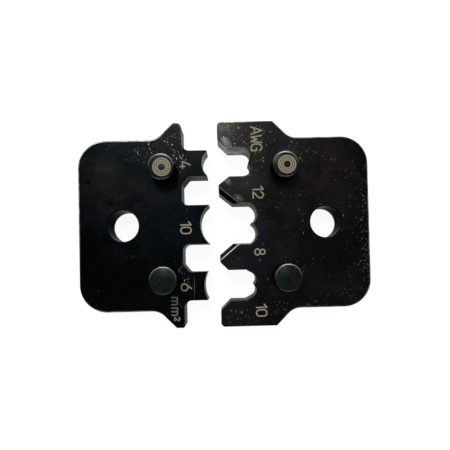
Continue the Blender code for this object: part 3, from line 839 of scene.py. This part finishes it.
anvil_steel = black_oxide(
    "black_oxide_tool_steel_cool", ANVIL_BOLT_X,
    tones=((0.36, "#010302"), (0.5, "#040607"), (0.64, "#080a0a"), (0.82, "#0d0f0c")),
    # Painted light: the tone rises towards +Y, the side of the softbox's reflection
    painted_light_slope=(0.0, 0.006),
    tints_and_painted_shade=[
        ("#04070b", [
            (1.1, (-8.0, 2.0), (9.0, 9.0), 0.0),
            (1.0, (-7.0, -12.0), (5.0, 8.0), 0.0),
            (0.9, (-20.0, 14.0), (5.0, 3.0), 0.0),
            (0.8, (-21.5, 1.0), (3.0, 6.0), 0.0),
        ]),
        ("#0a0a0a", [
            (1.2, (-23.0, 8.0), (4.5, 7.0), -20.0),
            (0.9, (-15.5, 3.5), (4.0, 2.5), 0.0),
        ]),
        ("#060606", [
            (0.9, (-10.0, 15.0), (6.0, 4.5), 0.0),
        ]),
        # Painted shade: the anvil's lower left darkened to near black, away from the softbox's
        # reflection
        ("#010403", [
            (0.9, (-20.0, -10.0), (9.0, 8.0), 0.0),
        ]),
    ],
    nick_share=0.05,
    rub_and_highlight_colour="#999b9a",
    # Partly painted highlight: the pale rim is strongest on the top and left edges, towards the
    # softbox, and faint at the bottom
    rubbed_and_lit_places=[
        (1.6, (-20.0, 15.0), (14.0, 5.0), 0.0),
        (1.0, (-25.4, 6.0), (3.0, 16.0), 0.0),
        (0.5, (-20.0, -15.0), (14.0, 4.0), 0.0),
        (0.5, (-8.0, 18.0), (3.0, 3.0), 0.0),
    ],
    worn_places=[
        (0.43, (-9.0, 15.2), (3.4, 3.4), 0.0),
        (0.34, (-14.0, 12.6), (4.5, 3.2), 0.0),
        (0.10, (-17.0, 13.8), (6.0, 2.2), 0.0),
        (0.90, (-8.0, 11.2), (2.8, 3.4), 0.0),
        (1.00, (-7.2, -8.1), (2.4, 3.8), 0.0),
    ],
    scratches_and_edge_highlights=[
        (0.13, (-5.55, -10.9), (0.10, 2.9), -1.0),
        (0.10, (-8.0, -14.1), (0.06, 0.8), 45.0),
    ],
    pale_patches_and_painted_sheen=[
        (0.03, (-20.0, 3.5), (3.5, 6.0), 20.0),
        (0.03, (-21.0, 10.0), (4.5, 3.5), -20.0),
    ],
    bright_walls=[
        (0.75, (-4.0, 11.5), (4.5, 5.5), 0.0),
        (0.5, (-7.4, 15.6), (2.2, 3.5), 0.0),
    ],
)
nest_steel = black_oxide(
    "black_oxide_tool_steel_warm", NEST_BOLT_X,
    tones=((0.2, "#090909"), (0.5, "#121212"), (0.8, "#1e1d1d")),
    # Painted light: the tone rises towards -X and +Y, the side of the softbox's reflection
    painted_light_slope=(-0.011, 0.003),
    tints_and_painted_shade=[
        ("#121016", [
            (1.4, (5.0, -4.0), (6.5, 8.5), 0.0),
            (0.4, (1.0, 5.5), (3.0, 3.0), 0.0),
        ]),
        ("#141012", [
            (1.3, (18.5, 10.0), (5.5, 8.0), 0.0),
            (0.7, (4.5, 16.0), (5.0, 3.0), 0.0),
            (0.6, (0.0, -15.0), (3.0, 3.0), 0.0),
        ]),
        # Painted shadows: dark olive below and left of the two pins
        ("#060a08", [
            (0.9, (8.5, 4.5), (3.2, 3.5), 0.0),
            (0.8, (8.5, -12.8), (3.5, 2.5), 0.0),
        ]),
    ],
    nick_share=0.19,
    rub_and_highlight_colour="#7d7a69",
    # Partly painted highlight: pale rims along the edges, strongest along the upper ear's top
    rubbed_and_lit_places=[
        (1.3, (25.4, -2.0), (5.0, 24.0), 0.0),
        (0.8, (15.0, 15.0), (14.0, 3.0), 0.0),
        (0.6, (15.0, -15.0), (14.0, 3.0), 0.0),
        (1.5, (0.5, 18.0), (7.0, 1.4), 0.0),
        (0.6, (3.0, 0.0), (5.0, 12.0), 0.0),
        (0.8, (1.0, 13.3), (5.0, 3.0), 0.0),
    ],
    worn_places=[
        (0.50, (2.0, -16.0), (6.0, 2.4), 0.0),
        (0.60, (-0.6, 17.0), (4.0, 2.0), 0.0),
        (0.20, (10.0, -9.0), (5.5, 5.0), 0.0),
        (1.00, (25.0, -3.0), (2.2, 16.0), 0.0),
        (0.25, (13.0, 12.5), (4.0, 3.5), 0.0),
        (0.20, (16.0, -14.6), (8.0, 1.3), 0.0),
        (0.50, (4.0, 13.0), (6.0, 7.0), 0.0),
        (0.45, (9.5, -15.0), (3.2, 2.2), 0.0),
        (0.35, (8.0, 15.2), (2.5, 2.5), 0.0),
    ],
    scratches_and_edge_highlights=[
        # Painted highlights: the two long lines along the middle nest's flank bevels
        (1.2, (0.69, -5.04), (5.0, 0.13), 39.7),
        (0.08, (0.77, 5.14), (5.0, 0.17), -39.7),
        (0.12, (12.1, 14.2), (0.25, 0.25), 0.0),
    ],
    pale_patches_and_painted_sheen=[
        (0.42, (0.45, 14.35), (1.1, 1.9), 38.0),
        (0.07, (0.5, 17.3), (4.0, 1.5), 0.0),
        (0.04, (0.0, 15.6), (3.0, 3.0), 0.0),
        (0.40, (0.7, 7.45), (0.8, 1.3), 40.0),
        (0.45, (2.5, 4.5), (1.3, 0.8), -25.0),
        # Painted reflection: the lower flank bevel of the middle nest painted grey
        (1.00, (0.3, -4.57), (2.8, 0.7), 39.7),
        (0.035, (21.0, -12.0), (6.0, 4.0), 0.0),
    ],
    bright_walls=[
        (1.3, (2.0, 14.5), (7.0, 4.0), 0.0),
    ],
)
dowel_steel = pin_steel()
mark_tan = etched_mark("etched_tan_mark", "#7a7460", "#948d77")
ring_tan = etched_mark("etched_golden_mark", "#7c7159", "#998d6f")


def dress(piece, material, body, slot, *nodes):
    """Give a piece its material and its body, and hide the CAD solids it stands for."""
    piece.data.materials.clear()
    piece.data.materials.append(material)
    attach(piece, body)
    if nodes:
        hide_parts(*nodes)


anvil_body = plate("anvil_die_body", anvil_outline(), ANVIL_BOLT_X, 1, ())
nest_body = plate("nest_die_body", nest_outline(), NEST_BOLT_X, -1, (1, -1))
dress(anvil_body, anvil_steel, "anvil_die", "black_oxide_anvil", "anvil_plate")
dress(nest_body, nest_steel, "nest_die", "black_oxide_nest", "nest_plate")

anvil_pin_x = ANVIL_BOLT_X + PIN_OFFSET
nest_pin_x = NEST_BOLT_X - PIN_OFFSET
for die, x in (("anvil", anvil_pin_x), ("nest", nest_pin_x)):
    upper_pin = pin(die + "_upper_dowel", RING_PIN_RADIUS, RING_PIN_CHAMFER, (x, PIN_Y))
    lower_pin = pin(die + "_lower_dowel", PLAIN_PIN_RADIUS, PLAIN_PIN_CHAMFER, (x, -PIN_Y))
    dress(upper_pin, dowel_steel, die + "_die", "pin_steel", die + "_ring_pin")
    dress(lower_pin, dowel_steel, die + "_die", "pin_steel", die + "_plain_pin")

marks = [
    (etched("anvil_mark_4", [("4", 0.0)], (-7.62, 11.11)), "anvil"),
    (etched("anvil_mark_10", [("1", 0.0), ("0", 0.96)], (-7.71, 0.51)), "anvil"),
    (etched("anvil_mark_6", [("6", 0.0)], (-7.84, -10.35)), "anvil"),
    (etched("anvil_mark_mm", [("m", 0.0), ("m", 1.84)], (-9.56, -12.66)), "anvil"),
    (etched("anvil_mark_squared", [("2", 0.0)], (-9.09, -16.13), 0.5), "anvil"),
    (etched("nest_mark_gauge", [("A", 0.0), ("W", 1.55), ("G", 3.02)], (4.99, 16.96)), "nest"),
    (etched("nest_mark_12", [("1", 0.0), ("2", 0.96)], (5.09, 6.46)), "nest"),
    (etched("nest_mark_8", [("8", 0.0)], (5.15, -4.51)), "nest"),
    (etched("nest_mark_10", [("1", 0.0), ("0", 0.96)], (5.19, -14.22)), "nest"),
]
for mark, die in marks:
    dress(mark, mark_tan, die + "_die", "black_oxide_" + die)
ring_marks = [
    (ring_mark("anvil_ring_mark", (anvil_pin_x + 0.19, PIN_Y - 0.13)), "anvil"),
    (ring_mark("nest_ring_mark", (nest_pin_x + 0.2, PIN_Y - 0.08)), "nest"),
]
for mark, die in ring_marks:
    dress(mark, ring_tan, die + "_die", "black_oxide_" + die)


# Floor, light and camera

def white_floor():
    """A plain white table, which the camera sees almost shadowless."""
    shape = bmesh.new()
    bmesh.ops.create_grid(shape, x_segments=1, y_segments=1, size=TABLE_REACH)
    bmesh.ops.translate(shape, verts=shape.verts, vec=(0, 0, -TABLE_GAP))
    floor = settled(shape, "white_table")
    material, tree = new_material("white_table_top")
    glow = add(tree, "Emission", {"Strength": 0.93})
    shaded = add(tree, "BsdfDiffuse", {"Color": linear("#6b6b6b")})
    bright = add(tree, "AddShader", {0: glow, 1: shaded})
    plain = add(tree, "BsdfDiffuse", {"Color": linear("#f0f0f0")})
    table = add(tree, "MixShader", {0: in_plain_view(tree), 1: plain, 2: bright})
    add(tree, "OutputMaterial", {"Surface": table})
    floor.data.materials.append(material)


def soft_world():
    """White all round where the camera or a reflection sees it, and soft even light elsewhere."""
    world = bpy.data.worlds.new("white_studio")
    bpy.context.scene.world = world
    world.use_nodes = True
    tree = world.node_tree
    tree.nodes.clear()
    white = add(tree, "Background", {"Color": linear("#ffffff"), "Strength": 1.0})
    light = add(tree, "Background", {"Color": linear("#ffffff"), "Strength": 0.6})
    both = add(tree, "MixShader", {0: in_plain_view(tree), 1: light, 2: white})
    add(tree, "OutputWorld", {"Surface": both})


def softbox(name, place, width, height, watts):
    """Hang a rectangular softbox at a place in millimetres, facing the dies."""
    lamp = bpy.data.lights.new(name, "AREA")
    lamp.shape = "RECTANGLE"
    lamp.size = width * METRES
    lamp.size_y = height * METRES
    lamp.energy = watts
    holder = bpy.data.objects.new(name, lamp)
    holder.location = Vector(place) * METRES
    holder.rotation_euler = (-holder.location).to_track_quat("-Z", "Y").to_euler()
    bpy.context.scene.collection.objects.link(holder)


white_floor()
soft_world()
softbox("overhead_softbox", (-46.0, 157.0, 508.0), 80.0, 80.0, 0.74)
softbox("back_window", (0.0, 500.0, 110.0), 400.0, 160.0, 1.4)

# The photograph was taken from almost straight above, with the lens tipped about 2 degrees, so the
# plates' lower and left sides come out slightly larger
camera_data = bpy.data.cameras.new("overhead_camera")
camera_data.sensor_width = 36.0
camera_data.lens = 51.64
camera_data.shift_x = -0.041
camera_data.shift_y = 0.033
camera_data.clip_start = 0.005
camera_data.clip_end = 10.0
camera = bpy.data.objects.new("overhead_camera", camera_data)
camera.location = (0.0004, -0.0061, 0.121)
camera.rotation_euler = (math.radians(1.66), math.radians(-1.38), math.radians(-1.38))
bpy.context.scene.collection.objects.link(camera)
bpy.context.scene.camera = camera
bpy.context.scene.view_settings.view_transform = "Standard"
